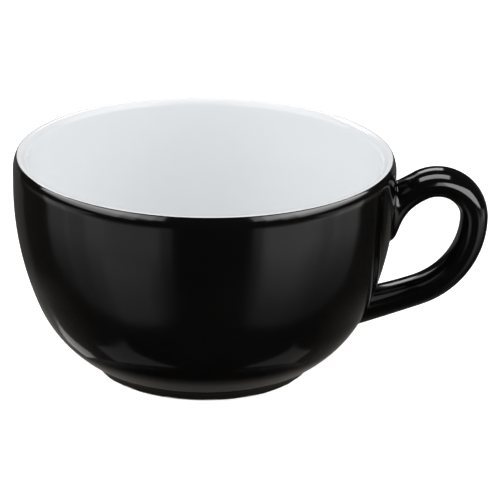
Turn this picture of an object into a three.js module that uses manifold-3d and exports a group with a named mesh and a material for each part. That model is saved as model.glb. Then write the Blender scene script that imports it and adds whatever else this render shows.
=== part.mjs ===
// A wide ceramic coffee cup with a loop handle, in millimetres.
// +Z is up, the foot stands on z = 0, the bowl turns about Z and the handle points along +X.
import * as THREE from "three";
import { mergeVertices } from "three/addons/utils/BufferGeometryUtils.js";
import Module from "manifold-3d";

// Bowl, measured over the glaze.
const bowlRadius = 45;
const cupHeight = 52.3;
const widestHeight = 45; // where the curved wall turns into the upright collar
const wallCurve = 73.4; // radius of the wall's curve under the collar
const bellyJoin = 17; // height at which the wall's curve meets the belly's
const lipThickness = 3.2;
const lipEdge = 1.4; // rounding of the lip's two edges
const colourLine = 30; // degrees down the lip's outer edge where white meets black

// Inside of the bowl, measured over the glaze.
const hollowJoin = 19; // height at which the inside wall meets the inside belly
const hollowCurve = 21.5;

// Foot.
const creaseRadius = 25.8; // where the belly meets the foot
const footHeight = 2.1;
const footTaper = 0.6; // how much narrower the foot is at the floor
const footRing = 2.9; // width of the standing face
const footEdge = 0.35; // rounding of the standing face, and where the glaze stops
const baseRecess = 1.5; // height of the base inside the ring

// Coats and joints.
const glazeThickness = 0.35;
const slipThickness = 0.5;
const coatClearance = 0.02; // between a coat and the clay under it
const cutClearance = 0.12; // round a piece that passes through another
const lineClearance = 0.06; // between the white and the black coat on the lip

// Handle, measured on the clay.
const handleThickness = 5.8; // in the plane of the loop
const handleWidth = 9.4; // across the loop
const sectionPower = 2.4; // 2 is an ellipse, more is squarer
const loopOut = 9.9; // from the bowl's widest circle to the centre of the loop's top curve
const loopDrop = 14.9; // from the lip's top down to that centre
const topCurve = 8.75; // radius of the centre line over the top
const lowerRootHeight = 14.4; // height at which the lower arm's centre line meets the wall
const upperSlope = 26; // degrees by which the upper arm falls towards the wall
const lowerSlope = 20; // degrees by which the lower arm starts to fall towards the wall
const armBend = 142; // radius by which the lower arm levels out on its way to the wall
const upperRootTop = 7.1; // from the lip's top down to the upper root's top edge
const upperRootHeight = 13.35;
const upperRootBulge = 1.05; // how far the root's lower curve keeps from the wall
const upperRootEnd = 3.2; // how bluntly that curve turns into the wall
const lowerRootFlare = 0.5; // growth of the lower arm on each side at the wall
const rootWidening = 0.6; // growth of each side's half width at the roots
const rootDepth = 2.6; // how far the uncut arms run into the wall

// Steps of the round shapes.
const turns = 48;
const sectionPoints = 20;

const wasm = await Module();
wasm.setup();

const rad = THREE.MathUtils.degToRad;
const coatDepth = glazeThickness + coatClearance;

// The bowl's two outside curves: centres in the half plane of radius and height.
const wallCentre = new THREE.Vector2(bowlRadius - wallCurve, widestHeight);
const joinAngle = Math.asin((wallCentre.y - bellyJoin) / wallCurve);
const joinNormal = new THREE.Vector2(Math.cos(joinAngle), -Math.sin(joinAngle));
const join = wallCentre.clone().addScaledVector(joinNormal, wallCurve);

// The belly's curve leaves the wall's in the same direction and ends at the foot's crease.
const toCrease = new THREE.Vector2(creaseRadius, footHeight).sub(join);
const bellyCurve = toCrease.lengthSq() / (-2 * toCrease.dot(joinNormal));
const bellyCentre = join.clone().addScaledVector(joinNormal, -bellyCurve);

// The inside has the same wall centre, and a tighter belly that runs into a flat floor.
const hollowWall = wallCurve - lipThickness;
const hollowAngle = Math.asin((wallCentre.y - hollowJoin) / hollowWall);
const hollowCentre = new THREE.Vector2(
  wallCentre.x + (hollowWall - hollowCurve) * Math.cos(hollowAngle),
  wallCentre.y - (hollowWall - hollowCurve) * Math.sin(hollowAngle),
);
const floorHeight = hollowCentre.y - hollowCurve;
const outerEdge = new THREE.Vector2(bowlRadius - lipEdge, cupHeight - lipEdge);
const innerEdge = new THREE.Vector2(bowlRadius - lipThickness + lipEdge, cupHeight - lipEdge);

// Points on an arc, with angles in radians from the outward direction.
function arc(centre, radius, from, to, steps) {
  const points = [];
  for (let i = 0; i <= steps; i++) {
    const a = from + ((to - from) * i) / steps;
    points.push(new THREE.Vector2(centre.x + radius * Math.cos(a), centre.y + radius * Math.sin(a)));
  }
  return points;
}

// Radius of the outside at a height, moved in by a depth.
function outsideRadius(height, depth) {
  if (height >= wallCentre.y) {
    return bowlRadius - depth;
  }
  const wall = wallCurve - depth;
  if (height >= wallCentre.y - wall * Math.sin(joinAngle)) {
    return wallCentre.x + Math.sqrt(wall ** 2 - (wallCentre.y - height) ** 2);
  }
  return bellyCentre.x + Math.sqrt((bellyCurve - depth) ** 2 - (bellyCentre.y - height) ** 2);
}

const footRadius = creaseRadius - footTaper;

// The outside from the foot's crease up to the collar, moved in by a depth.
function outsideCurve(depth) {
  const belly = bellyCurve - depth;
  const crease = creaseRadius - depth - bellyCentre.x;
  const creaseAngle = -Math.acos(crease / belly);
  return [
    ...arc(bellyCentre, belly, creaseAngle, -joinAngle, 6),
    ...arc(wallCentre, wallCurve - depth, -joinAngle, 0, 5).slice(1),
  ];
}

// The inside from the collar down to the floor, moved into the clay by a depth.
function insideCurve(depth) {
  return [
    ...arc(wallCentre, hollowWall + depth, 0, -hollowAngle, 4),
    ...arc(hollowCentre, hollowCurve + depth, -hollowAngle, -Math.PI / 2, 6).slice(1),
  ];
}

function lipCurve(depth, from, to) {
  const half = Math.PI / 2;
  const outer = from < half ? arc(outerEdge, lipEdge - depth, from, Math.min(to, half), 3) : [];
  const inner = to > half ? arc(innerEdge, lipEdge - depth, Math.max(from, half), to, 3) : [];
  return [...outer, ...inner];
}

// The foot's side, from the floor or the glaze's lower edge up to just below the crease.
function footSide(depth, height) {
  const share = height / footHeight;
  return new THREE.Vector2(footRadius - depth + footTaper * share, height);
}

function revolve(points) {
  const closed = points[0].x > 0 ? [...points, points[0].clone()] : points;
  return new THREE.LatheGeometry(closed, turns).rotateX(Math.PI / 2);
}

function solid(geometry) {
  const bare = geometry.clone();
  bare.deleteAttribute("normal");
  bare.deleteAttribute("uv");
  const merged = mergeVertices(bare, 1e-4);
  const made = new wasm.Mesh({
    numProp: 3,
    vertProperties: new Float32Array(merged.attributes.position.array),
    triVerts: new Uint32Array(merged.index.array),
  });
  return new wasm.Manifold(made);
}

function geometryOf(manifold) {
  const mesh = manifold.getMesh();
  const geometry = new THREE.BufferGeometry();
  geometry.setAttribute("position", new THREE.BufferAttribute(mesh.vertProperties, 3));
  geometry.setIndex(new THREE.BufferAttribute(mesh.triVerts, 1));
  geometry.computeVertexNormals();
  return geometry;
}

// Everything inside the bowl's outside, grown by an amount, as a solid for cutting.
function bowlBlock(growth) {
  const side = outsideCurve(-growth);
  const profile = [
    new THREE.Vector2(0, 0),
    new THREE.Vector2(side[0].x, 0),
    ...side,
    new THREE.Vector2(bowlRadius + growth, cupHeight),
    new THREE.Vector2(0, cupHeight),
  ];
  return solid(revolve(profile));
}

// Stations of the handle: an outer and an inner rail point in the plane y = 0, and a half width.
const halfThickness = handleThickness / 2;
const halfWidth = handleWidth / 2;
const topCentre = new THREE.Vector2(bowlRadius + loopOut, cupHeight - loopDrop);
const farthest = topCentre.x + topCurve;

// The side's curve starts level with the top curve's centre and runs into the sloping lower arm.
const armNormal = new THREE.Vector2(Math.sin(rad(lowerSlope)), -Math.cos(rad(lowerSlope)));
const armEnd = new THREE.Vector2(outsideRadius(lowerRootHeight, 0), lowerRootHeight);
const fromFarthest = armEnd.clone().sub(new THREE.Vector2(farthest, topCentre.y));
const sideCurve = fromFarthest.dot(armNormal) / (1 - armNormal.x);
const sideCentre = new THREE.Vector2(farthest - sideCurve, topCentre.y);

function onArc(centre, radius, angle) {
  return new THREE.Vector2(centre.x + radius * Math.cos(angle), centre.y + radius * Math.sin(angle));
}

// Distance from a point along a direction until it lies a depth inside the bowl's outside.
function lengthInto(start, along, depth) {
  let length = 0;
  const point = start.clone();
  while (length < bowlRadius && point.x > outsideRadius(point.y, depth)) {
    length += 0.25;
    point.copy(start).addScaledVector(along, length);
  }
  return length;
}

function handleStations() {
  const stations = [];
  const add = (outer, inner, half) => stations.push({ outer, inner, half });
  const arcStart = rad(90 + upperSlope);
  const outerStart = onArc(topCentre, topCurve + halfThickness, arcStart);
  const innerStart = onArc(topCentre, topCurve - halfThickness, arcStart);

  // Upper root: the top edge runs straight to the wall and the lower edge curves down along it.
  const topHeight = cupHeight - upperRootTop;
  const lowHeight = topHeight - upperRootHeight;
  const outerEnd = new THREE.Vector2(outsideRadius(topHeight, coatDepth), topHeight);
  const innerEnd = new THREE.Vector2(outsideRadius(lowHeight, coatDepth), lowHeight);
  const fall = innerStart.x - innerEnd.x - upperRootBulge;
  const bendHeight = innerStart.y - fall * Math.tan(rad(upperSlope));
  const bend = new THREE.Vector2(innerEnd.x + upperRootBulge, bendHeight);
  const blunt = new THREE.Vector2(innerEnd.x + upperRootEnd, innerEnd.y + upperRootEnd / 12);
  const lowerEdge = new THREE.CubicBezierCurve(innerEnd, blunt, bend, innerStart);
  const rootHalf = halfWidth + rootWidening;
  const buried = new THREE.Vector2(-rootDepth, 0);
  add(outerEnd.clone().add(buried), innerEnd.clone().add(buried), rootHalf);
  const rootSteps = 8;
  for (let i = 0; i < rootSteps; i++) {
    const t = i / rootSteps;
    const half = rootHalf + (halfWidth - rootHalf) * Math.sin((t * Math.PI) / 2);
    add(outerEnd.clone().lerp(outerStart, t), lowerEdge.getPoint(t), half);
  }

  // Over the top and down the side.
  const bands = [
    [topCentre, topCurve, arcStart, 0, 9],
    [sideCentre, sideCurve, 0, -rad(90 - lowerSlope), 7],
  ];
  for (const [centre, radius, from, to, steps] of bands) {
    for (let i = 0; i < steps; i++) {
      const a = from + ((to - from) * i) / steps;
      add(onArc(centre, radius + halfThickness, a), onArc(centre, radius - halfThickness, a), halfWidth);
    }
  }

  // Lower arm: a slight bend to the wall, and a little thicker where it meets it.
  const armAngle = -rad(90 - lowerSlope);
  const along = new THREE.Vector2(-Math.cos(rad(lowerSlope)), -Math.sin(rad(lowerSlope)));
  const armStart = onArc(sideCentre, sideCurve, armAngle);
  const lowestStart = armStart.clone().addScaledVector(armNormal, halfThickness + lowerRootFlare);
  const armLength = lengthInto(lowestStart, along, coatDepth + rootDepth);
  const toWall = armEnd.clone().sub(armStart).dot(along);
  const armSteps = 5;
  for (let i = 0; i <= armSteps; i++) {
    const run = (armLength * i) / armSteps;
    const lift = run ** 2 / (2 * armBend);
    const share = run / toWall;
    const centre = armStart.clone().addScaledVector(along, run).addScaledVector(armNormal, -lift);
    const reach = halfThickness + lowerRootFlare * share ** 2;
    const half = halfWidth + rootWidening * share ** 2;
    const outer = centre.clone().addScaledVector(armNormal, reach);
    const inner = centre.clone().addScaledVector(armNormal, -reach);
    add(outer, inner, half);
  }
  return stations;
}

const allStations = handleStations();

// A closed solid through rounded sections at the stations, each grown by an amount.
function loft(stations, growth) {
  const positions = [];
  const ring = sectionPoints;
  const squared = (value) => Math.sign(value) * Math.abs(value) ** (2 / sectionPower);
  for (const { outer, inner, half } of stations) {
    const middle = outer.clone().add(inner).multiplyScalar(0.5);
    const reach = outer.clone().sub(inner).multiplyScalar(0.5);
    const length = reach.length();
    const scaled = reach.multiplyScalar((length + growth) / length);
    for (let k = 0; k < ring; k++) {
      const a = (2 * Math.PI * k) / ring;
      const out = squared(Math.cos(a));
      const side = squared(Math.sin(a)) * (half + growth);
      positions.push(middle.x + scaled.x * out, side, middle.y + scaled.y * out);
    }
  }
  const faces = [];
  for (let j = 0; j + 1 < stations.length; j++) {
    for (let k = 0; k < ring; k++) {
      const next = (k + 1) % ring;
      const a = j * ring + k;
      const b = j * ring + next;
      faces.push(a, a + ring, b, b, a + ring, b + ring);
    }
  }
  const last = (stations.length - 1) * ring;
  for (let k = 1; k + 1 < ring; k++) {
    faces.push(0, k, k + 1);
    faces.push(last, last + k + 1, last + k);
  }
  const geometry = new THREE.BufferGeometry();
  geometry.setAttribute("position", new THREE.Float32BufferAttribute(positions, 3));
  geometry.setIndex(faces);
  return solid(geometry);
}

// Clay of the bowl: bare foot, outside, lip, inside and floor.
const ringInner = footRadius - footRing;
const baseClay = baseRecess + coatDepth;
const bowlProfile = [
  new THREE.Vector2(0, baseClay),
  new THREE.Vector2(ringInner - footEdge, baseClay),
  new THREE.Vector2(ringInner, 0),
  new THREE.Vector2(footRadius - coatDepth - footEdge, 0),
  footSide(coatDepth, footEdge),
  ...outsideCurve(coatDepth),
  ...lipCurve(coatDepth, 0, Math.PI),
  ...insideCurve(coatDepth),
  new THREE.Vector2(0, floorHeight - coatDepth),
];

// White coat: from the colour line over the lip, down the inside and across the floor.
const whiteStart = Math.PI / 2 - rad(colourLine) + lineClearance / (2 * lipEdge);
const insideOver = [
  ...lipCurve(0, whiteStart, Math.PI),
  ...insideCurve(0),
  new THREE.Vector2(0, floorHeight),
];
const insideUnder = [
  ...lipCurve(glazeThickness, whiteStart, Math.PI),
  ...insideCurve(glazeThickness),
  new THREE.Vector2(0, floorHeight - glazeThickness),
];
const insideProfile = [...insideUnder.reverse(), ...insideOver];

// Black coat: from the foot's lower edge up to the colour line.
const blackEnd = Math.PI / 2 - rad(colourLine) - lineClearance / (2 * lipEdge);
const outsideOver = [footSide(0, footEdge), ...outsideCurve(0), ...lipCurve(0, 0, blackEnd)];
const outsideUnder = [
  footSide(glazeThickness, footEdge),
  ...outsideCurve(glazeThickness),
  ...lipCurve(glazeThickness, 0, blackEnd),
];
const outsideProfile = [...outsideOver, ...outsideUnder.reverse()];

// Coat of the recessed base, turned down a little along the foot ring.
const baseSlope = footEdge / baseClay;
const ringAt = (height, depth) => ringInner - baseSlope * height - depth;
const baseProfile = [
  new THREE.Vector2(0, baseRecess),
  new THREE.Vector2(ringAt(baseRecess, coatDepth), baseRecess),
  new THREE.Vector2(ringAt(footEdge * 2, coatDepth), footEdge * 2),
  new THREE.Vector2(ringAt(footEdge * 2, coatClearance), footEdge * 2),
  new THREE.Vector2(ringAt(baseRecess + glazeThickness, coatClearance), baseRecess + glazeThickness),
  new THREE.Vector2(0, baseRecess + glazeThickness),
];

// Layers at the handle's roots, counted from the clay wall outwards.
const slipInner = coatClearance - coatDepth;
const slipOuter = slipInner + slipThickness;
const handleEnd = slipOuter + coatClearance;
const handleClay = loft(allStations, 0).subtract(bowlBlock(handleEnd));
const handleCoat = loft(allStations, coatDepth)
  .subtract(loft(allStations, coatClearance))
  .subtract(bowlBlock(slipInner));
const wallHole = loft(allStations, coatDepth + cutClearance);
const outsideCoat = solid(revolve(outsideProfile)).subtract(wallHole);
const slipLayer = bowlBlock(slipOuter).subtract(bowlBlock(slipInner));
const upperRoot = loft(allStations.slice(0, 10), -coatClearance);
const lowerRoot = loft(allStations.slice(-6), -coatClearance);

const clayMaterial = new THREE.MeshStandardMaterial({ color: 0xe8e0d3, roughness: 0.85, metalness: 0 });
const slipMaterial = new THREE.MeshStandardMaterial({ color: 0xded3c2, roughness: 0.9, metalness: 0 });
const whiteMaterial = new THREE.MeshStandardMaterial({ color: 0xeef2f4, roughness: 0.12, metalness: 0 });
const blackMaterial = new THREE.MeshStandardMaterial({ color: 0x0b0b0c, roughness: 0.1, metalness: 0 });

const cup = new THREE.Group();
cup.name = "coffee_cup";

function piece(parent, name, geometry, material) {
  const mesh = new THREE.Mesh(geometry, material.clone());
  mesh.name = name;
  parent.add(mesh);
  return mesh;
}

const body = new THREE.Group();
body.name = "body";
cup.add(body);
piece(body, "bowl", revolve(bowlProfile), clayMaterial);
piece(body, "inside_glaze", revolve(insideProfile), whiteMaterial);
piece(body, "outside_glaze", geometryOf(outsideCoat), blackMaterial);
piece(body, "base_glaze", revolve(baseProfile), blackMaterial);

const loop = new THREE.Group();
loop.name = "loop";
cup.add(loop);
piece(loop, "handle", geometryOf(handleClay), clayMaterial);
piece(loop, "handle_glaze", geometryOf(handleCoat), blackMaterial);
piece(loop, "upper_slip_joint", geometryOf(slipLayer.intersect(upperRoot)), slipMaterial);
piece(loop, "lower_slip_joint", geometryOf(slipLayer.intersect(lowerRoot)), slipMaterial);

export default cup;
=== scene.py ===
from math import acos, asin, cos, pi, radians, sin, sqrt, tan

import bmesh
import bpy
from mathutils import Matrix, Vector, noise


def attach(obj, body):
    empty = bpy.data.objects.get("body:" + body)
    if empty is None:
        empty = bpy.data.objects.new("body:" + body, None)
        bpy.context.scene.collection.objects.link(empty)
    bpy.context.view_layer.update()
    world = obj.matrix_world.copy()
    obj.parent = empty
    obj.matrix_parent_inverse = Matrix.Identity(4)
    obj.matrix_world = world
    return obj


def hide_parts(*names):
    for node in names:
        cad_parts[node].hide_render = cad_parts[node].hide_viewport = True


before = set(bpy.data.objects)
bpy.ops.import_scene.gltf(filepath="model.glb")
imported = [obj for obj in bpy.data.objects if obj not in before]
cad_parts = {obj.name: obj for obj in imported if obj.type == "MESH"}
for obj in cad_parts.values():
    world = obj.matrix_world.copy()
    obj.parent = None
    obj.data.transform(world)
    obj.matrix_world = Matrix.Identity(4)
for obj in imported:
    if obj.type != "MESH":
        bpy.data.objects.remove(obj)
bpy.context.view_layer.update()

# Lengths below are in millimetres, as the cup is drawn, and MM turns them into metres.
MM = 0.001

# Bowl, over the glaze: an upright collar, a curved wall, a rounder belly and a short foot.
BOWL_RADIUS = 45.0
CUP_HEIGHT = 52.3
WIDEST_HEIGHT = 45.0
WALL_CURVE = 73.4
BELLY_JOIN = 17.0
LIP_THICKNESS = 3.2
CREASE_RADIUS = 25.8
FOOT_HEIGHT = 2.1
FOOT_TAPER = 0.6
FOOT_RING = 2.9
BASE_RECESS = 1.5
RING_LEAN = 0.19
HOLLOW_JOIN = 19.0
HOLLOW_CURVE = 21.5

# Lip: the black leans in on a broad curve, the white turns over a tight edge and a small flat.
LEAN_START = 49.15
LEAN_CURVE = 6.4
LEAN_ANGLE = 27.0
COLOUR_LINE = 72.0
INNER_EDGE = 1.7

# Coats.
GLAZE = 0.35
COAT_DEPTH = 0.37
GLAZE_STOP = 0.45
BASE_GLAZE_STOP = 0.7
CLAY_CLEARANCE = 0.02

# Rounded edges, and the angle in degrees above which an edge stays sharp.
CREASE_ROUND = 0.32
GLAZE_STOP_ROUND = 0.2
BASE_ROUND = 0.4
BASE_STOP_ROUND = 0.15
STANDING_INNER_ROUND = 0.35
STANDING_OUTER_ROUND = 0.3
STANDING_INSET = 0.1
SHARP_ANGLE = 38.0

# Waver of the line where the black glaze stops above the standing face; waves are per metre.
WAVER_ZONE = 0.3
BROAD_WAVER = 0.22
BROAD_WAVES = 260
FINE_WAVER = 0.06
FINE_WAVES = 900

# Bands over which the glazes and the clay change colour: where the black runs thin above the
# foot's stop and under the lip's line, the white of the lip, and the rubbed standing face.
THIN_FOOT_START = 0.9
THIN_FOOT_FULL = 0.3
THIN_LIP_BAND = 0.15
LIP_SHADE_START = 0.9
LIP_SHADE_FULL = 0.2
RUBBED_START = 0.12
RUBBED_FULL = 0.02

# Handle, measured on the clay.
HANDLE_THICKNESS = 5.8
HANDLE_WIDTH = 9.4
SECTION_POWER = 2.4
LOOP_OUT = 9.9
LOOP_DROP = 14.9
TOP_CURVE = 8.75
LOWER_ROOT_HEIGHT = 14.4
UPPER_SLOPE = 26.0
LOWER_SLOPE = 20.0
UPPER_ROOT_TOP = 7.1
UPPER_ROOT_HEIGHT = 13.35
UPPER_ROOT_BULGE = 1.05
UPPER_ROOT_END = 3.2
UPPER_ROOT_PITCH = 12.0
LOWER_ROOT_FLARE = 0.5
ROOT_WIDENING = 0.6
ARM_WIDENING = 0.3
ARM_OVERRUN = 6.0
ARM_BEND = 142.0
UPPER_FILLET = 1.0
FILLET_NARROWING = 0.55
LOWER_FILLET = 0.03
FILLET_SINK = 0.05

# Steps of the round shapes and of the search, and the distance in metres at which points merge.
TURNS = 192
RING_POINTS = 48
FILLET_STEPS = 7
BELLY_STEPS = 26
WALL_STEPS = 22
LEAN_STEPS = 9
HOLLOW_WALL_STEPS = 24
HOLLOW_STEPS = 30
INNER_EDGE_STEPS = 10
CLAY_BELLY_STEPS = 20
CLAY_WALL_STEPS = 18
CLAY_HOLLOW_STEPS = 22
CLAY_LIP_STEPS = 6
TOP_STEPS = 34
SIDE_STEPS = 30
LOWER_ARM_STEPS = 12
UPPER_ROOT_STEPS = 14
HALVINGS = 40
MERGE_DISTANCE = 1e-7

HALF_THICKNESS = HANDLE_THICKNESS / 2
HALF_WIDTH = HANDLE_WIDTH / 2
FOOT_RADIUS = CREASE_RADIUS - FOOT_TAPER
RING_INNER = FOOT_RADIUS - FOOT_RING


def flat(x, y):
    """A point in the half plane of radius and height."""
    return Vector((x, y))


WALL_CENTRE = flat(BOWL_RADIUS - WALL_CURVE, WIDEST_HEIGHT)
JOIN_ANGLE = asin((WIDEST_HEIGHT - BELLY_JOIN) / WALL_CURVE)
JOIN_NORMAL = flat(cos(JOIN_ANGLE), -sin(JOIN_ANGLE))
JOIN = WALL_CENTRE + WALL_CURVE * JOIN_NORMAL
TO_CREASE = flat(CREASE_RADIUS, FOOT_HEIGHT) - JOIN
BELLY_CURVE = TO_CREASE.length_squared / (-2 * TO_CREASE.dot(JOIN_NORMAL))
BELLY_CENTRE = JOIN - BELLY_CURVE * JOIN_NORMAL
HOLLOW_WALL = WALL_CURVE - LIP_THICKNESS
HOLLOW_ANGLE = asin((WIDEST_HEIGHT - HOLLOW_JOIN) / HOLLOW_WALL)
HOLLOW_NORMAL = flat(cos(HOLLOW_ANGLE), -sin(HOLLOW_ANGLE))
HOLLOW_CENTRE = WALL_CENTRE + (HOLLOW_WALL - HOLLOW_CURVE) * HOLLOW_NORMAL
FLOOR_HEIGHT = HOLLOW_CENTRE.y - HOLLOW_CURVE
LEAN_CENTRE = flat(BOWL_RADIUS - LEAN_CURVE, LEAN_START)
LEAN_NORMAL = flat(cos(radians(LEAN_ANGLE)), sin(radians(LEAN_ANGLE)))
LEAN_END = LEAN_CENTRE + LEAN_CURVE * LEAN_NORMAL
OUTER_EDGE = (CUP_HEIGHT - LEAN_END.y) / (1 - LEAN_NORMAL.y)
OUTER_EDGE_CENTRE = LEAN_END - OUTER_EDGE * LEAN_NORMAL
LINE_NORMAL = flat(cos(radians(COLOUR_LINE)), sin(radians(COLOUR_LINE)))
LINE_POINT = OUTER_EDGE_CENTRE + OUTER_EDGE * LINE_NORMAL
LINE_UNDER = LEAN_END - GLAZE * LEAN_NORMAL
HOLLOW_RADIUS = BOWL_RADIUS - LIP_THICKNESS
INNER_EDGE_CENTRE = flat(HOLLOW_RADIUS + INNER_EDGE, CUP_HEIGHT - INNER_EDGE)


def outside_radius(height):
    """Radius of the glazed outside at a height."""
    if height >= WIDEST_HEIGHT:
        return BOWL_RADIUS
    if height >= BELLY_JOIN:
        return WALL_CENTRE.x + sqrt(WALL_CURVE**2 - (WIDEST_HEIGHT - height) ** 2)
    return BELLY_CENTRE.x + sqrt(BELLY_CURVE**2 - (BELLY_CENTRE.y - height) ** 2)


class Profile:
    """An outline in the half plane of radius and height, turned about the cup's axis."""

    def __init__(self, start):
        self.mesh = bmesh.new()
        self.tip = self.mesh.verts.new((start.x * MM, 0, start.y * MM))
        self.start = self.tip.co.copy()

    def line(self, end, steps=1):
        step = (Vector((end.x * MM, 0, end.y * MM)) - self.tip.co) / steps
        for _ in range(steps):
            self.tip = bmesh.ops.extrude_vert_indiv(self.mesh, verts=[self.tip])["verts"][0]
            bmesh.ops.translate(self.mesh, vec=step, verts=[self.tip])

    def arc(self, centre, angle, steps):
        """Angles in radians, positive from outwards to upwards."""
        made = bmesh.ops.spin(
            self.mesh,
            geom=[self.tip],
            cent=(centre.x * MM, 0, centre.y * MM),
            axis=(0, -1, 0),
            angle=angle,
            steps=steps,
        )
        self.tip = [v for v in made["geom_last"] if isinstance(v, bmesh.types.BMVert)][0]

    def turn(self):
        """Closes the outline and spins it into a solid of revolution."""
        self.line(flat(self.start.x / MM, self.start.z / MM))
        bmesh.ops.remove_doubles(self.mesh, verts=self.mesh.verts, dist=MERGE_DISTANCE)
        bmesh.ops.spin(
            self.mesh,
            geom=self.mesh.verts[:] + self.mesh.edges[:],
            cent=(0, 0, 0),
            axis=(0, 0, 1),
            angle=2 * pi,
            steps=TURNS,
            use_merge=True,
        )
        bmesh.ops.remove_doubles(self.mesh, verts=self.mesh.verts, dist=MERGE_DISTANCE)
        loose = [e for e in self.mesh.edges if not e.link_faces]
        bmesh.ops.delete(self.mesh, geom=loose, context="EDGES")
        bmesh.ops.recalc_face_normals(self.mesh, faces=self.mesh.faces)
        return self.mesh


def round_ring(mesh, corner, offset, segments):
    """Rounds the circular edge that passes through a corner of the outline."""
    near = 0.01 * MM

    def at_corner(v):
        return (flat(v.co.xy.length, v.co.z) - corner * MM).length < near

    edges = [e for e in mesh.edges if all(at_corner(v) for v in e.verts)]
    bmesh.ops.bevel(
        mesh,
        geom=edges,
        offset=offset * MM,
        offset_type="OFFSET",
        affect="EDGES",
        segments=segments,
        profile=0.5,
        material=-1,
    )


def piece_of(name, mesh, material, slot, *nodes):
    """Makes a piece from a bmesh, and sets it in place of its CAD nodes."""
    data = bpy.data.meshes.new(name)
    mesh.to_mesh(data)
    mesh.free()
    data.polygons.foreach_set("use_smooth", [True] * len(data.polygons))
    data.set_sharp_from_angle(angle=radians(SHARP_ANGLE))
    data.materials.append(material)
    piece = bpy.data.objects.new(name, data)
    bpy.context.scene.collection.objects.link(piece)
    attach(piece, "root")
    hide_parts(*nodes)
    return piece


# Materials.


class Finish:
    """A material with a Principled shader and short calls for its nodes."""

    def __init__(self, name):
        self.material = bpy.data.materials.new(name)
        self.material.use_nodes = True
        self.tree = self.material.node_tree
        self.shader = self.tree.nodes["Principled BSDF"]
        self.place = self.add("ShaderNodeTexCoord").outputs["Object"]

    def add(self, kind, **settings):
        made = self.tree.nodes.new(kind)
        for key, value in settings.items():
            setattr(made, key, value)
        return made

    def link(self, output, target):
        self.tree.links.new(output, target)

    def noise(self, scale, detail, rough=0.5):
        made = self.add("ShaderNodeTexNoise")
        made.inputs["Scale"].default_value = scale
        made.inputs["Detail"].default_value = detail
        made.inputs["Roughness"].default_value = rough
        self.link(self.place, made.inputs["Vector"])
        return made.outputs["Fac"]

    def cells(self, scale):
        made = self.add("ShaderNodeTexVoronoi")
        made.inputs["Scale"].default_value = scale
        self.link(self.place, made.inputs["Vector"])
        return made.outputs["Distance"], made.outputs["Color"]

    def ramp(self, source, first, second):
        """Colours or greys between two stops, each a position and a shade."""
        made = self.add("ShaderNodeValToRGB")
        for stop, (position, colour) in zip(made.color_ramp.elements[:], (first, second)):
            stop.position = position
            shade = colour if isinstance(colour, tuple) else (colour, colour, colour)
            stop.color = (*shade, 1)
        self.link(source, made.inputs["Fac"])
        return made.outputs["Color"]

    def range(self, source, low, high, to_low, to_high):
        made = self.add("ShaderNodeMapRange")
        ends = {"From Min": low, "From Max": high, "To Min": to_low, "To Max": to_high}
        for key, value in ends.items():
            made.inputs[key].default_value = value
        self.link(source, made.inputs["Value"])
        return made.outputs["Result"]

    def math(self, kind, first, second):
        made = self.add("ShaderNodeMath", operation=kind)
        for index, value in enumerate((first, second)):
            if isinstance(value, float):
                made.inputs[index].default_value = value
            else:
                self.link(value, made.inputs[index])
        return made.outputs["Value"]

    def mix(self, factor, first, second):
        made = self.add("ShaderNodeMix", data_type="RGBA")
        self.link(factor, made.inputs["Factor"])
        for key, value in ((6, first), (7, second)):
            if isinstance(value, tuple):
                made.inputs[key].default_value = (*value, 1)
            else:
                self.link(value, made.inputs[key])
        return made.outputs[2]

    def height(self):
        made = self.add("ShaderNodeSeparateXYZ")
        self.link(self.place, made.inputs["Vector"])
        return made.outputs["Z"]

    def bump(self, source, depth, under=None):
        """Relief of a depth in metres, on top of another relief."""
        made = self.add("ShaderNodeBump")
        made.inputs["Strength"].default_value = 1.0
        made.inputs["Distance"].default_value = depth
        self.link(source, made.inputs["Height"])
        if under is not None:
            self.link(under, made.inputs["Normal"])
        return made.outputs["Normal"]

    def sparse(self, scale, size, share):
        """Small dots of a relative size in a share of the cells."""
        distance, colour = self.cells(scale)
        pick = self.add("ShaderNodeSeparateColor")
        self.link(colour, pick.inputs["Color"])
        chosen = self.math("GREATER_THAN", pick.outputs["Red"], 1.0 - share)
        dot = self.range(distance, 0.0, size, 1.0, 0.0)
        return self.math("MULTIPLY", dot, chosen)


# Colours of the glazes and the clay, in linear light.
DEEP_BLACK = (0.0019, 0.0018, 0.0018)
CLOUDY_BLACK = (0.0034, 0.0031, 0.0030)
THIN_FOOT_BROWN = (0.030, 0.019, 0.012)
THIN_LIP_BROWN = (0.022, 0.017, 0.014)
COOL_WHITE = (0.835, 0.855, 0.868)
CLEAN_WHITE = (0.855, 0.870, 0.880)
LIP_WHITE = (0.86, 0.862, 0.875)
SPECK_BROWN = (0.55, 0.50, 0.43)
GROG_BROWN = (0.36, 0.27, 0.19)
SCUFF_GREY = (0.42, 0.40, 0.38)
PALE_CLAY = (0.80, 0.74, 0.64)
DARK_CLAY = (0.66, 0.59, 0.49)
PALE_SLIP = (0.74, 0.67, 0.56)
DARK_SLIP = (0.60, 0.52, 0.42)
GLAZE_IOR = 1.5


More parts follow.
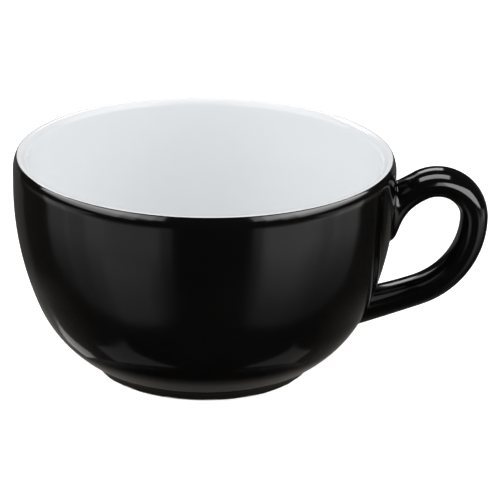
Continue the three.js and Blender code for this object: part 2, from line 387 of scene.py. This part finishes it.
def black_glaze(name):
    finish = Finish(name)
    shader = finish.shader
    shader.inputs["IOR"].default_value = GLAZE_IOR
    cloud = finish.noise(55, 3)
    thick = finish.ramp(cloud, (0.3, DEEP_BLACK), (0.75, CLOUDY_BLACK))
    height = finish.height()
    thin_foot = finish.range(height, THIN_FOOT_START * MM, THIN_FOOT_FULL * MM, 0.0, 1.0)
    edged = finish.mix(thin_foot, thick, THIN_FOOT_BROWN)
    band_start = (LINE_POINT.y - THIN_LIP_BAND) * MM
    thin_lip = finish.range(height, band_start, LINE_POINT.y * MM, 0.0, 0.6)
    finish.link(finish.mix(thin_lip, edged, THIN_LIP_BROWN), shader.inputs["Base Color"])
    pits = finish.sparse(230, 0.045, 0.14)
    haze = finish.range(finish.noise(38, 4, 0.6), 0.3, 0.7, 0.075, 0.115)
    dull = finish.math("MULTIPLY", pits, 0.3)
    finish.link(finish.math("ADD", haze, dull), shader.inputs["Roughness"])
    waves = finish.bump(finish.noise(48, 1), 26e-6)
    peel = finish.bump(finish.noise(620, 2), 3.2e-6, waves)
    sunk = finish.math("MULTIPLY", pits, -1.0)
    finish.link(finish.bump(sunk, 20e-6, peel), shader.inputs["Normal"])
    return finish.material


def white_glaze(name):
    finish = Finish(name)
    shader = finish.shader
    shader.inputs["IOR"].default_value = GLAZE_IOR
    cloud = finish.ramp(finish.noise(30, 4), (0.3, COOL_WHITE), (0.72, CLEAN_WHITE))
    shade_start = (CUP_HEIGHT - LIP_SHADE_START) * MM
    shade_full = (CUP_HEIGHT - LIP_SHADE_FULL) * MM
    lip = finish.range(finish.height(), shade_start, shade_full, 0.0, 1.0)
    warm = finish.mix(lip, cloud, LIP_WHITE)
    specks = finish.sparse(170, 0.03, 0.08)
    finish.link(finish.mix(specks, warm, SPECK_BROWN), shader.inputs["Base Color"])
    haze = finish.range(finish.noise(40, 4, 0.6), 0.3, 0.7, 0.10, 0.16)
    finish.link(haze, shader.inputs["Roughness"])
    waves = finish.bump(finish.noise(45, 1), 30e-6)
    finish.link(finish.bump(finish.noise(600, 2), 4e-6, waves), shader.inputs["Normal"])
    return finish.material


def bare_clay(name, pale, dark):
    finish = Finish(name)
    shader = finish.shader
    body = finish.ramp(finish.noise(160, 5, 0.6), (0.25, dark), (0.75, pale))
    grog = finish.sparse(900, 0.28, 0.2)
    spotted = finish.mix(grog, body, GROG_BROWN)
    scuffs = finish.ramp(finish.noise(420, 6, 0.7), (0.6, 0.0), (0.72, 0.55))
    height = finish.height()
    standing = finish.range(height, RUBBED_START * MM, RUBBED_FULL * MM, 0.0, 1.0)
    rubbed = finish.math("MULTIPLY", scuffs, standing)
    finish.link(finish.mix(rubbed, spotted, SCUFF_GREY), shader.inputs["Base Color"])
    matt = finish.range(finish.noise(300, 3), 0.3, 0.7, 0.78, 0.95)
    finish.link(matt, shader.inputs["Roughness"])
    grain = finish.bump(finish.noise(1900, 4, 0.65), 25e-6)
    finish.link(finish.bump(grog, 20e-6, grain), shader.inputs["Normal"])
    return finish.material


BLACK = black_glaze("black_gloss_glaze")
WHITE = white_glaze("white_gloss_glaze")
CLAY = bare_clay("bare_fired_clay", PALE_CLAY, DARK_CLAY)
SLIP = bare_clay("dried_slip", PALE_SLIP, DARK_SLIP)

# Pieces of the body.


def foot_side(height, depth):
    return flat(FOOT_RADIUS - depth + FOOT_TAPER * height / FOOT_HEIGHT, height)


def crease_angle(depth):
    return acos((CREASE_RADIUS - depth - BELLY_CENTRE.x) / (BELLY_CURVE - depth))


def crease_point(depth):
    angle = crease_angle(depth)
    return BELLY_CENTRE + (BELLY_CURVE - depth) * flat(cos(angle), -sin(angle))


def make_outside_coat():
    coat = Profile(foot_side(GLAZE_STOP, 0))
    coat.line(crease_point(0), 2)
    coat.arc(BELLY_CENTRE, crease_angle(0) - JOIN_ANGLE, BELLY_STEPS)
    coat.arc(WALL_CENTRE, JOIN_ANGLE, WALL_STEPS)
    coat.line(flat(BOWL_RADIUS, LEAN_START), 3)
    coat.arc(LEAN_CENTRE, radians(LEAN_ANGLE), LEAN_STEPS)
    coat.arc(OUTER_EDGE_CENTRE, radians(COLOUR_LINE - LEAN_ANGLE), 4)
    coat.line(LINE_UNDER)
    coat.arc(LEAN_CENTRE, -radians(LEAN_ANGLE), LEAN_STEPS)
    coat.line(flat(BOWL_RADIUS - GLAZE, WIDEST_HEIGHT), 3)
    coat.arc(WALL_CENTRE, -JOIN_ANGLE, WALL_STEPS)
    coat.arc(BELLY_CENTRE, JOIN_ANGLE - crease_angle(GLAZE), BELLY_STEPS)
    coat.line(foot_side(GLAZE_STOP, GLAZE), 2)
    mesh = coat.turn()
    round_ring(mesh, crease_point(0), CREASE_ROUND, 4)
    round_ring(mesh, foot_side(GLAZE_STOP, 0), GLAZE_STOP_ROUND, 4)
    for v in mesh.verts:
        if v.co.z < (GLAZE_STOP + WAVER_ZONE) * MM:
            broad = noise.noise(v.co * BROAD_WAVES) * BROAD_WAVER
            fine = noise.noise(v.co * FINE_WAVES) * FINE_WAVER
            v.co.z += (broad + fine) * MM
    return piece_of("outside_coat", mesh, BLACK, "black_glaze", "outside_glaze")


def make_inside_coat():
    coat = Profile(LINE_POINT)
    coat.arc(OUTER_EDGE_CENTRE, radians(90 - COLOUR_LINE), 7)
    coat.line(flat(INNER_EDGE_CENTRE.x, CUP_HEIGHT), 4)
    coat.arc(INNER_EDGE_CENTRE, pi / 2, INNER_EDGE_STEPS)
    coat.line(flat(HOLLOW_RADIUS, WIDEST_HEIGHT), 4)
    coat.arc(WALL_CENTRE, -HOLLOW_ANGLE, HOLLOW_WALL_STEPS)
    coat.arc(HOLLOW_CENTRE, HOLLOW_ANGLE - pi / 2, HOLLOW_STEPS)
    coat.line(flat(0, FLOOR_HEIGHT), 5)
    coat.line(flat(0, FLOOR_HEIGHT - GLAZE))
    coat.line(flat(HOLLOW_CENTRE.x, FLOOR_HEIGHT - GLAZE), 5)
    coat.arc(HOLLOW_CENTRE, pi / 2 - HOLLOW_ANGLE, HOLLOW_STEPS)
    coat.arc(WALL_CENTRE, HOLLOW_ANGLE, HOLLOW_WALL_STEPS)
    coat.line(flat(HOLLOW_RADIUS + GLAZE, INNER_EDGE_CENTRE.y), 4)
    coat.arc(INNER_EDGE_CENTRE, -pi / 2, INNER_EDGE_STEPS)
    coat.line(LINE_UNDER, 4)
    return piece_of("inside_coat", coat.turn(), WHITE, "white_glaze", "inside_glaze")


def ring_side(height, depth):
    """The inner side of the foot ring, which leans in as it rises."""
    return flat(RING_INNER - RING_LEAN * height - depth, height)


def make_base_coat():
    coat = Profile(flat(0, BASE_RECESS))
    coat.line(ring_side(BASE_RECESS, COAT_DEPTH), 8)
    coat.line(ring_side(BASE_GLAZE_STOP, COAT_DEPTH), 2)
    coat.line(ring_side(BASE_GLAZE_STOP, COAT_DEPTH - GLAZE))
    coat.line(ring_side(BASE_RECESS + GLAZE, COAT_DEPTH - GLAZE), 2)
    coat.line(flat(0, BASE_RECESS + GLAZE), 8)
    mesh = coat.turn()
    round_ring(mesh, ring_side(BASE_RECESS, COAT_DEPTH), BASE_ROUND, 5)
    round_ring(mesh, ring_side(BASE_GLAZE_STOP, COAT_DEPTH), BASE_STOP_ROUND, 3)
    return piece_of("base_coat", mesh, BLACK, "black_glaze", "base_glaze")


def make_bowl_body():
    standing_outer = flat(foot_side(0, COAT_DEPTH).x - STANDING_INSET, 0)
    standing_inner = ring_side(0, 0)
    clay_top = (LEAN_END - COAT_DEPTH * LEAN_NORMAL).y - CLAY_CLEARANCE
    clay = Profile(flat(0, BASE_RECESS + COAT_DEPTH))
    clay.line(ring_side(BASE_RECESS + COAT_DEPTH, 0), 6)
    clay.line(standing_inner, 3)
    clay.line(standing_outer, 3)
    clay.line(foot_side(GLAZE_STOP, COAT_DEPTH), 2)
    clay.line(crease_point(COAT_DEPTH), 2)
    clay.arc(BELLY_CENTRE, crease_angle(COAT_DEPTH) - JOIN_ANGLE, CLAY_BELLY_STEPS)
    clay.arc(WALL_CENTRE, JOIN_ANGLE, CLAY_WALL_STEPS)
    clay.line(flat(BOWL_RADIUS - COAT_DEPTH, LEAN_START), 2)
    clay.arc(LEAN_CENTRE, radians(LEAN_ANGLE), CLAY_LIP_STEPS)
    clay.line(flat(INNER_EDGE_CENTRE.x, clay_top), 2)
    clay.arc(INNER_EDGE_CENTRE, pi / 2, CLAY_LIP_STEPS)
    clay.line(flat(HOLLOW_RADIUS + COAT_DEPTH, WIDEST_HEIGHT), 3)
    clay.arc(WALL_CENTRE, -HOLLOW_ANGLE, CLAY_WALL_STEPS)
    clay.arc(HOLLOW_CENTRE, HOLLOW_ANGLE - pi / 2, CLAY_HOLLOW_STEPS)
    clay.line(flat(0, FLOOR_HEIGHT - COAT_DEPTH), 4)
    mesh = clay.turn()
    round_ring(mesh, standing_inner, STANDING_INNER_ROUND, 4)
    round_ring(mesh, standing_outer, STANDING_OUTER_ROUND, 4)
    return piece_of("bowl_body", mesh, CLAY, "clay", "bowl")


# The handle's coat. A station is a matrix that sets the unit ring in the loop's plane.

TOP_CENTRE = flat(BOWL_RADIUS + LOOP_OUT, CUP_HEIGHT - LOOP_DROP)
ARM_NORMAL = flat(sin(radians(LOWER_SLOPE)), -cos(radians(LOWER_SLOPE)))
ARM_ALONG = flat(-cos(radians(LOWER_SLOPE)), -sin(radians(LOWER_SLOPE)))
FARTHEST = flat(TOP_CENTRE.x + TOP_CURVE, TOP_CENTRE.y)
ARM_END = flat(outside_radius(LOWER_ROOT_HEIGHT), LOWER_ROOT_HEIGHT)
SIDE_CURVE = (ARM_END - FARTHEST).dot(ARM_NORMAL) / (1 - ARM_NORMAL.x)
SIDE_CENTRE = flat(FARTHEST.x - SIDE_CURVE, FARTHEST.y)
ARM_START = SIDE_CENTRE + SIDE_CURVE * ARM_NORMAL
ARM_TO_WALL = (ARM_END - ARM_START).dot(ARM_ALONG)


def on_arc(centre, radius, degrees):
    return centre + radius * flat(cos(radians(degrees)), sin(radians(degrees)))


ARC_START = 90 + UPPER_SLOPE
OUTER_START = on_arc(TOP_CENTRE, TOP_CURVE + HALF_THICKNESS, ARC_START)
INNER_START = on_arc(TOP_CENTRE, TOP_CURVE - HALF_THICKNESS, ARC_START)
ROOT_TOP = CUP_HEIGHT - UPPER_ROOT_TOP
ROOT_LOW = ROOT_TOP - UPPER_ROOT_HEIGHT
OUTER_END = flat(outside_radius(ROOT_TOP) - COAT_DEPTH, ROOT_TOP)
INNER_END = flat(outside_radius(ROOT_LOW) - COAT_DEPTH, ROOT_LOW)
BEND_X = INNER_END.x + UPPER_ROOT_BULGE
BEND = flat(BEND_X, INNER_START.y - (INNER_START.x - BEND_X) * tan(radians(UPPER_SLOPE)))
BLUNT = flat(INNER_END.x + UPPER_ROOT_END, INNER_END.y + UPPER_ROOT_END / UPPER_ROOT_PITCH)


def station(outer, inner, half):
    """Matrix of a section: its first axis runs from inner to outer rail, its second across."""
    middle = (outer + inner) / 2
    reach = (outer - inner) / 2
    reach *= (reach.length + COAT_DEPTH) / reach.length
    along = reach.orthogonal().normalized()
    across = half + COAT_DEPTH
    made = Matrix((
        (reach.x, 0, along.x, middle.x),
        (0, across, 0, 0),
        (reach.y, 0, along.y, middle.y),
        (0, 0, 0, 1),
    ))
    return Matrix.Scale(MM, 4) @ made


def upper_root(t):
    """Section of the upper root, from the wall at 0 to the loop's top curve at 1."""
    outer = OUTER_END.lerp(OUTER_START, t)
    s = 1 - t
    inner = s**3 * INNER_END + 3 * t * s**2 * BLUNT + 3 * t**2 * s * BEND + t**3 * INNER_START
    return station(outer, inner, HALF_WIDTH + ROOT_WIDENING * (1 - sin(t * pi / 2)))


def lower_arm(t):
    """Section of the lower arm, from inside the wall at 0 to the loop's side curve at 1."""
    run = (1 - t) * (ARM_TO_WALL + ARM_OVERRUN)
    spread = (run / ARM_TO_WALL) ** 2
    centre = ARM_START + run * ARM_ALONG - run**2 / (2 * ARM_BEND) * ARM_NORMAL
    reach = (HALF_THICKNESS + LOWER_ROOT_FLARE * spread) * ARM_NORMAL
    return station(centre + reach, centre - reach, HALF_WIDTH + ARM_WIDENING * spread)


def squared(value):
    return abs(value) ** (2 / SECTION_POWER) * (1 if value >= 0 else -1)


def ring_point(index):
    angle = 2 * pi * index / RING_POINTS
    return Vector((squared(cos(angle)), squared(sin(angle)), 0))


def ring_normal(index, matrix):
    """Outward direction of the section's edge in space."""
    point = ring_point(index)
    steep = SECTION_POWER - 1
    first = matrix.col[0].xyz
    second = matrix.col[1].xyz
    slope = [abs(value) ** steep * (1 if value >= 0 else -1) for value in point.xy]
    out = first * slope[0] / first.length_squared + second * slope[1] / second.length_squared
    return out.normalized()


def wall_distance(point):
    return point.xy.length - outside_radius(point.z / MM) * MM


def share_at(section, index, distance):
    """The share along an arm at which one edge point stands off the wall by a distance."""
    low, high = 0.0, 1.0
    for _ in range(HALVINGS):
        middle = (low + high) / 2
        if wall_distance(section(middle) @ ring_point(index)) < distance:
            low = middle
        else:
            high = middle
    return high


def fillet_point(section, index, radius, turn):
    """A point of the concave joint, as turn runs from 0 on the arm to 1 on the wall."""
    angle = turn * pi / 2
    distance = radius * (1 - sin(angle))
    share = share_at(section, index, distance)
    matrix = section(share)
    point = matrix @ ring_point(index)
    normal = ring_normal(index, matrix)
    outward = Vector((point.x, point.y, 0)).normalized()
    aside = (normal - normal.dot(outward) * outward).normalized()
    point += aside * radius * (1 - cos(angle))
    sunk = FILLET_SINK * MM * turn
    wanted = outside_radius(point.z / MM) * MM + distance - sunk
    stretch = wanted / point.xy.length
    return Vector((point.x * stretch, point.y * stretch, point.z))


def grow_ring(mesh, ring, layer, place):
    """Extrudes a ring and sets each new point where place() says."""
    made = bmesh.ops.extrude_edge_only(mesh, edges=ring)["geom"]
    for v in made:
        if isinstance(v, bmesh.types.BMVert):
            v.co = place(v[layer])
    fresh = set(made)
    return [e for e in made if isinstance(e, bmesh.types.BMEdge) and fresh.issuperset(e.verts)]


def grow_root(mesh, ring, layer, section, radius_of, free_steps):
    """From a ring at share 1 of an arm, along the arm and out onto the wall."""
    ends = {k: share_at(section, k, radius_of(k)) for k in range(RING_POINTS)}
    for step in range(1, free_steps + 1):
        s = step / free_steps

        def along(k):
            return section(1 + (ends[k] - 1) * s) @ ring_point(k)

        ring = grow_ring(mesh, ring, layer, along)
    for step in range(1, FILLET_STEPS + 1):
        turn = step / FILLET_STEPS
        ring = grow_ring(mesh, ring, layer, lambda k: fillet_point(section, k, radius_of(k), turn))


def upper_fillet(index):
    """Radius at a ring point: widest at the root's two sides, narrower above and below."""
    return UPPER_FILLET * (1 - FILLET_NARROWING * ring_point(index).x ** 2) * MM


def lower_fillet(index):
    """The same small radius all round, because the arm runs into the wall nearly sharp."""
    return LOWER_FILLET * MM


def edges_of(geometry):
    return [e for e in geometry if isinstance(e, bmesh.types.BMEdge)]


def make_handle_coat():
    mesh = bmesh.new()
    layer = mesh.verts.layers.int.new("ring_place")
    first = bmesh.ops.create_circle(mesh, segments=RING_POINTS, radius=1.0)["verts"]
    start = upper_root(1.0)
    for index, v in enumerate(first):
        v[layer] = index
        v.co = start @ ring_point(index)
    ring = mesh.edges[:]
    root_ring = ring[:]
    top_arc = (TOP_CENTRE, ARC_START, TOP_STEPS)
    side_arc = (SIDE_CENTRE, 90 - LOWER_SLOPE, SIDE_STEPS)
    for centre, angle, steps in (top_arc, side_arc):
        corners = sorted({v for e in ring for v in e.verts}, key=lambda v: v[layer])
        made = bmesh.ops.spin(
            mesh,
            geom=corners + ring,
            cent=(centre.x * MM, 0, centre.y * MM),
            axis=(0, 1, 0),
            angle=radians(angle),
            steps=steps,
        )
        ring = edges_of(made["geom_last"])
    grow_root(mesh, ring, layer, lower_arm, lower_fillet, LOWER_ARM_STEPS)
    grow_root(mesh, root_ring, layer, upper_root, upper_fillet, UPPER_ROOT_STEPS)
    bmesh.ops.recalc_face_normals(mesh, faces=mesh.faces)
    bmesh.ops.solidify(mesh, geom=mesh.faces[:], thickness=GLAZE * MM)
    return piece_of("handle_coat", mesh, BLACK, "black_glaze", "handle_glaze")


outside_coat = make_outside_coat()
inside_coat = make_inside_coat()
make_base_coat()
make_bowl_body()
handle_coat = make_handle_coat()
hidden_finishes = {"handle": CLAY, "upper_slip_joint": SLIP, "lower_slip_joint": SLIP}
for node_name, finish in hidden_finishes.items():
    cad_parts[node_name].data.materials[0] = finish

# Camera, in metres and degrees: in front of the cup and above it, with the handle on the right.
CAMERA_PLACE = (0.0, -0.75210, 0.30754)
CAMERA_DOWN = 20.36
CAMERA_YAW = 0.83
CAMERA_ROLL = 0.92
CAMERA_LENS = 243.9
CAMERA_SENSOR = 36

camera_data = bpy.data.cameras.new("camera")
camera_data.lens = CAMERA_LENS
camera_data.sensor_width = CAMERA_SENSOR
camera = bpy.data.objects.new("camera", camera_data)
bpy.context.scene.collection.objects.link(camera)
camera.matrix_world = (
    Matrix.Translation(CAMERA_PLACE)
    @ Matrix.Rotation(radians(-CAMERA_YAW), 4, "Z")
    @ Matrix.Rotation(radians(90 - CAMERA_DOWN), 4, "X")
    @ Matrix.Rotation(radians(CAMERA_ROLL), 4, "Z")
)
bpy.context.scene.camera = camera

# Stage: a pale floor, which reflections see as a dark glossy table with painted light on it, a
# soft sky and soft boxes.

FLOOR_REACH = 6
FLOOR_DROP = 0.02
PAPER_COLOUR = (0.85, 0.85, 0.85, 1)
PAPER_GLOW = 0.8
TABLE_COLOUR = (0.012, 0.010, 0.009, 1)
TABLE_IOR = 1.45
# Colour of the light painted on the table as a glow.
PAINTED_GLOW_COLOUR = (1.0, 0.93, 0.84, 1)

# Sky: what lights the cup, what the camera sees and what reflections see.
SOFT_SKY = {"Color": (0.97, 0.985, 1, 1), "Strength": 0.52}
WHITE_SKY = {"Color": (1, 1, 1, 1), "Strength": 1.1}
DARK_SKY = {"Color": (1, 0.97, 0.95, 1), "Strength": 0.02}

# Ramps over the table: the two distances in metres between which a value changes, and its ends.
# Apart from the table's shine, they shape painted light: glows on the table that no lamp gives,
# seen only in reflections.
TABLE_SHINE = (0.045, 0.08, 0.07, 0.2)
FOOT_GLOW = (0.0245, 0.0285, 0.05, 0.14)
FOOT_GLOW_END = (0.029, 0.033, 1.0, 0.0)
REAR_HALF = (-0.03, 0.006, 0.0, 1.0)
REAR_POOL = (0.058, 0.076, 0.095, 0.015)
REAR_POOL_MIDDLE = (0.042, 0.052, 0.075, 0.0)
REAR_POOL_CENTRE = (-0.005, 0, 0)
SIDE_GLOW = (0.2, 0.45, 0.0, 0.5)
SIDE_GLOW_FRONT = (0.0, 0.1, 0.0, 1.0)
SIDE_GLOW_REAR = (0.0, 0.25, 1.0, 0.0)
SIDE_GLOW_SLANT = 0.47


class StageNodes:
    """Short calls for the nodes of the floor and the sky."""

    def __init__(self, tree):
        self.tree = tree
        tree.nodes.clear()

    def feed(self, socket, value):
        if isinstance(value, bpy.types.NodeSocket):
            self.tree.links.new(value, socket)
        else:
            socket.default_value = value

    def add(self, kind, *first, operation=None, **named):
        """A node, fed at its first inputs in order and at others by name."""
        made = self.tree.nodes.new(kind)
        if operation is not None:
            made.operation = operation
        for index, value in enumerate(first):
            self.feed(made.inputs[index], value)
        for key, value in named.items():
            self.feed(made.inputs[key.replace("_", " ")], value)
        return made

    def math(self, operation, *values):
        return self.add("ShaderNodeMath", *values, operation=operation).outputs["Value"]

    def vector(self, operation, *values):
        return self.add("ShaderNodeVectorMath", *values, operation=operation).outputs["Value"]

    def span(self, source, low, high, to_low, to_high):
        ends = {"From_Min": low, "From_Max": high, "To_Min": to_low, "To_Max": to_high}
        return self.add("ShaderNodeMapRange", source, **ends).outputs["Result"]

    def both(self, first, second):
        return self.add("ShaderNodeAddShader", first.outputs[0], second.outputs[0])

    def mix(self, factor, first, second):
        return self.add("ShaderNodeMixShader", factor, first.outputs[0], second.outputs[0])


def make_floor():
    mesh = bmesh.new()
    bmesh.ops.create_grid(mesh, x_segments=1, y_segments=1, size=FLOOR_REACH)
    bmesh.ops.translate(mesh, vec=(0, 0, -FLOOR_DROP * MM), verts=mesh.verts)
    data = bpy.data.meshes.new("floor")
    mesh.to_mesh(data)
    mesh.free()
    material = bpy.data.materials.new("floor_paper")
    material.use_nodes = True
    nodes = StageNodes(material.node_tree)
    path = nodes.add("ShaderNodeLightPath").outputs
    paper = nodes.add("ShaderNodeBsdfDiffuse", Color=PAPER_COLOUR)
    glow = nodes.add("ShaderNodeEmission", Color=(1, 1, 1, 1), Strength=PAPER_GLOW)
    shown = nodes.mix(path["Is Camera Ray"], paper, nodes.both(paper, glow))

    place = nodes.add("ShaderNodeTexCoord").outputs["Object"]
    parts = nodes.add("ShaderNodeSeparateXYZ", place).outputs
    radius = nodes.vector("LENGTH", place)
    reach = nodes.vector("DISTANCE", place, REAR_POOL_CENTRE)
    side = nodes.math("ABSOLUTE", parts["X"])
    slant = nodes.math("MULTIPLY_ADD", side, SIDE_GLOW_SLANT, parts["Y"])

    # Painted light on the table, seen only in reflections: a glowing ring round the foot, a pool
    # behind the cup and glowing wedges at the sides.
    ring = nodes.span(radius, *FOOT_GLOW)
    under = nodes.math("MULTIPLY", ring, nodes.span(radius, *FOOT_GLOW_END))
    middle = nodes.span(reach, *REAR_POOL_MIDDLE)
    pool = nodes.math("ADD", nodes.span(reach, *REAR_POOL), middle)
    behind = nodes.math("MULTIPLY", nodes.span(parts["Y"], *REAR_HALF), pool)
    front = nodes.span(slant, *SIDE_GLOW_FRONT)
    wedge = nodes.math("MULTIPLY", front, nodes.span(parts["Y"], *SIDE_GLOW_REAR))
    aside = nodes.math("MULTIPLY", nodes.span(side, *SIDE_GLOW), wedge)
    strength = nodes.math("ADD", nodes.math("ADD", under, behind), aside)

    shine = nodes.span(radius, *TABLE_SHINE)
    settings = {"Base_Color": TABLE_COLOUR, "Roughness": shine, "IOR": TABLE_IOR}
    table = nodes.add("ShaderNodeBsdfPrincipled", **settings)
    # The table glows with the painted light where these ramps say.
    painted_glow = nodes.add("ShaderNodeEmission", Color=PAINTED_GLOW_COLOUR, Strength=strength)
    surface = nodes.mix(path["Is Glossy Ray"], shown, nodes.both(table, painted_glow))
    nodes.add("ShaderNodeOutputMaterial", Surface=surface.outputs[0])
    data.materials.append(material)
    floor = bpy.data.objects.new("floor", data)
    bpy.context.scene.collection.objects.link(floor)


def make_sky():
    world = bpy.data.worlds.new("studio")
    bpy.context.scene.world = world
    world.use_nodes = True
    nodes = StageNodes(world.node_tree)
    path = nodes.add("ShaderNodeLightPath").outputs
    soft = nodes.add("ShaderNodeBackground", **SOFT_SKY)
    white = nodes.add("ShaderNodeBackground", **WHITE_SKY)
    dark = nodes.add("ShaderNodeBackground", **DARK_SKY)
    seen = nodes.mix(path["Is Glossy Ray"], soft, dark)
    surface = nodes.mix(path["Is Camera Ray"], seen, white)
    nodes.add("ShaderNodeOutputWorld", Surface=surface.outputs[0])


def soft_box(name, place, target, width, height, radiance, turn=0):
    """A rectangular soft box; its energy follows from the brightness that its face shows."""
    data = bpy.data.lights.new(name, "AREA")
    data.shape = "RECTANGLE"
    data.size = width
    data.size_y = height
    data.energy = radiance * pi * width * height
    box = bpy.data.objects.new(name, data)
    bpy.context.scene.collection.objects.link(box)
    aim = (Vector(target) - Vector(place)).to_track_quat("-Z", "Y").to_matrix().to_4x4()
    box.matrix_world = Matrix.Translation(place) @ aim @ Matrix.Rotation(radians(turn), 4, "Z")
    box.visible_camera = False
    return box


def gloss_box(*settings):
    """A soft box that shows only in gloss."""
    box = soft_box(*settings)
    box.visible_diffuse = False
    return box


def fill_box(*settings):
    """A soft box that lights surfaces and doesn't show in gloss."""
    box = soft_box(*settings)
    box.visible_glossy = False
    return box


def facing_box(name, place, centre, width, height, radiance):
    """A gloss box that faces a point at its own height."""
    return gloss_box(name, place, (*centre, place[2]), width, height, radiance)


def overhead_box(name, place, width, height, radiance, turn=0):
    """A gloss box that faces straight down."""
    return gloss_box(name, place, (place[0], place[1], 0), width, height, radiance, turn)


def side_panel(name, facing, inner, outer, low, high, distance, radiance):
    """An upright gloss box, square to an azimuth, with its two ends at azimuths too.

    Azimuths run from the camera's side of the cup towards the handle's. The bottom and top are
    heights at a distance of one metre.
    """
    low, high = low * distance, high * distance
    ends = [distance * tan(radians(end - facing)) for end in (inner, outer)]
    towards = distance * Vector((sin(radians(facing)), -cos(radians(facing)), 0))
    along = Vector((cos(radians(facing)), sin(radians(facing)), 0))
    place = towards + along * sum(ends) / 2 + Vector((0, 0, (low + high) / 2))
    width = abs(ends[1] - ends[0])
    return gloss_box(name, place, place - towards, width, high - low, radiance)


def tie_light(name, state, pieces, *boxes):
    """Ties soft boxes to some pieces, or keeps them off those."""
    group = bpy.data.collections.new(name)
    for piece in pieces:
        group.objects.link(piece)
    for member in group.collection_objects:
        member.light_linking.link_state = state
    for box in boxes:
        box.light_linking.receiver_collection = group


# Panels at the sides, in the order of side_panel's arguments. Where they overlap they add up, and
# no two of a side stand at one distance, so that each one counts.
SIDE_PANELS = (
    ("left_wide", -40, -18.5, -106, 0.19, 1.155, 1.0, 1.6),
    ("left_soft", -40, -26, -90, 0.26, 1.155, 1.03, 1.1),
    ("left_middle", -40, -26, -74, 0.26, 1.155, 1.06, 1.3),
    ("left_bright", -40, -33, -64, 0.48, 1.155, 1.12, 2.6),
    ("left_low", -40, -60, -90, 0.18, 0.32, 1.18, 1.1),
    ("left_end", -40, -88, -108, 0.19, 0.5, 1.24, 0.5),
    ("left_far", -40, -88, -108, 0.19, 0.76, 1.3, 0.7),
    ("right_wide", 45, 28.5, 104, 0.19, 1.155, 1.0, 1.8),
    ("right_soft", 45, 34.5, 84, 0.24, 0.75, 1.03, 1.3),
    ("right_broad", 45, 34.5, 73, 0.24, 1.155, 1.09, 1.2),
    ("right_middle", 45, 34.5, 60, 0.24, 1.155, 1.06, 1.2),
    ("right_bright", 45, 38, 66, 0.36, 0.8, 1.12, 1.4),
    ("right_low", 45, 60, 88, 0.18, 0.32, 1.18, 2.2),
    ("right_end", 45, 83, 106, 0.19, 0.4, 1.24, 1.2),
    ("right_far", 45, 83, 106, 0.19, 0.7, 1.3, 1.2),
)
COLLAR_PANELS = (
    ("collar_left_high", -62, -24, -111, 0.42, 1.1, 1.0, 2.0),
    ("collar_left_wide", -62, -30, -111, 0.32, 1.1, 1.06, 1.4),
    ("collar_left_middle", -80, -40, -111, 0.22, 1.1, 1.12, 1.4),
    ("collar_left_low", -80, -50, -111, 0.19, 1.1, 1.18, 1.5),
    ("collar_left_top", -114, -88, -134, 0.55, 1.3, 1.3, 1.2),
    ("collar_right_high", 66, 29, 111, 0.4, 1.1, 1.0, 2.2),
    ("collar_right_wide", 66, 36, 111, 0.3, 1.1, 1.06, 2.4),
    ("collar_right_middle", 80, 46, 111, 0.22, 1.1, 1.12, 1.3),
    ("collar_right_low", 80, 56, 111, 0.19, 1.1, 1.18, 1.5),
    ("collar_right_top", 114, 88, 134, 0.55, 1.3, 1.3, 1.4),
)

make_floor()
make_sky()

# The wall sees the side panels only in the table, and the hollow sees the two wide ones directly.
table_panels = {row[0]: side_panel(*row) for row in SIDE_PANELS}
wide_panels = [table_panels.pop(name) for name in ("left_wide", "right_wide")]
top_box = overhead_box("top_box", (0, 0.13, 1.0), 1.5, 0.5, 5.0, turn=7)
corner_place, corner_target = (-0.5, 0.777, 0.81), (-0.045, -0.01, 0)
corner_box = gloss_box("corner_box", corner_place, corner_target, 0.28, 0.28, 13.0)
back_box = facing_box("back_box", (-0.15, 1.5, 0.55), (-0.15, 0), 2.4, 0.8, 0.38)
coats = [handle_coat, outside_coat, inside_coat]
tie_light("bowl_light", "EXCLUDE", [handle_coat], corner_box, back_box)
tie_light("hollow_light", "EXCLUDE", [handle_coat, outside_coat], *wide_panels)
tie_light("table_light", "EXCLUDE", coats, top_box, *table_panels.values())

# The collar under the lip, the handle and the lip have boxes of their own.
collar_panels = [side_panel(*row) for row in COLLAR_PANELS]
tie_light("collar_light", "INCLUDE", [outside_coat], *collar_panels)
handle_boxes = (
    overhead_box("handle_top_box", (-0.033, 0.14, 1.0), 0.8945, 0.64, 5.0),
    facing_box("handle_back_box", (-0.023, 1.2, 0.602), (-0.023, 0), 0.494, 0.305, 2.7),
    facing_box("handle_far_box", (-0.51, 1.2, 0.62), (-0.51, 0), 0.48, 0.3, 1.4),
    facing_box("handle_side_box", (0.98, -1.18, 0.59), (0.058, 0), 2.2, 1.09, 3.0),
    facing_box("handle_end_box", (1.138, -1.15, 0.617), (0.17, 0.088), 2.03, 1.145, 2.7),
)
tie_light("handle_light", "INCLUDE", [handle_coat], *handle_boxes)
lip_back = facing_box("lip_back_box", (0, 1.2, 1.08), (0, 0), 0.44, 0.84, 4.5)
lip_top = overhead_box("lip_top_box", (0, 0.1, 1.2), 1.8, 0.8, 1.2)
tie_light("lip_light", "INCLUDE", [inside_coat], lip_back, lip_top)
fill_box("top_fill", (0, -0.2, 1.4), (0, -0.2, 0), 1.2, 1.2, 0.62)
fill_box("left_fill", (-1.3, -0.7, 0.8), (0, 0, 0.04), 1.8, 1.2, 2.0)
fill_box("right_fill", (1.4, -0.5, 0.8), (0, 0, 0.04), 1.8, 1.2, 2.0)

view = bpy.context.scene.view_settings
view.view_transform = "Standard"
view.look = "None"
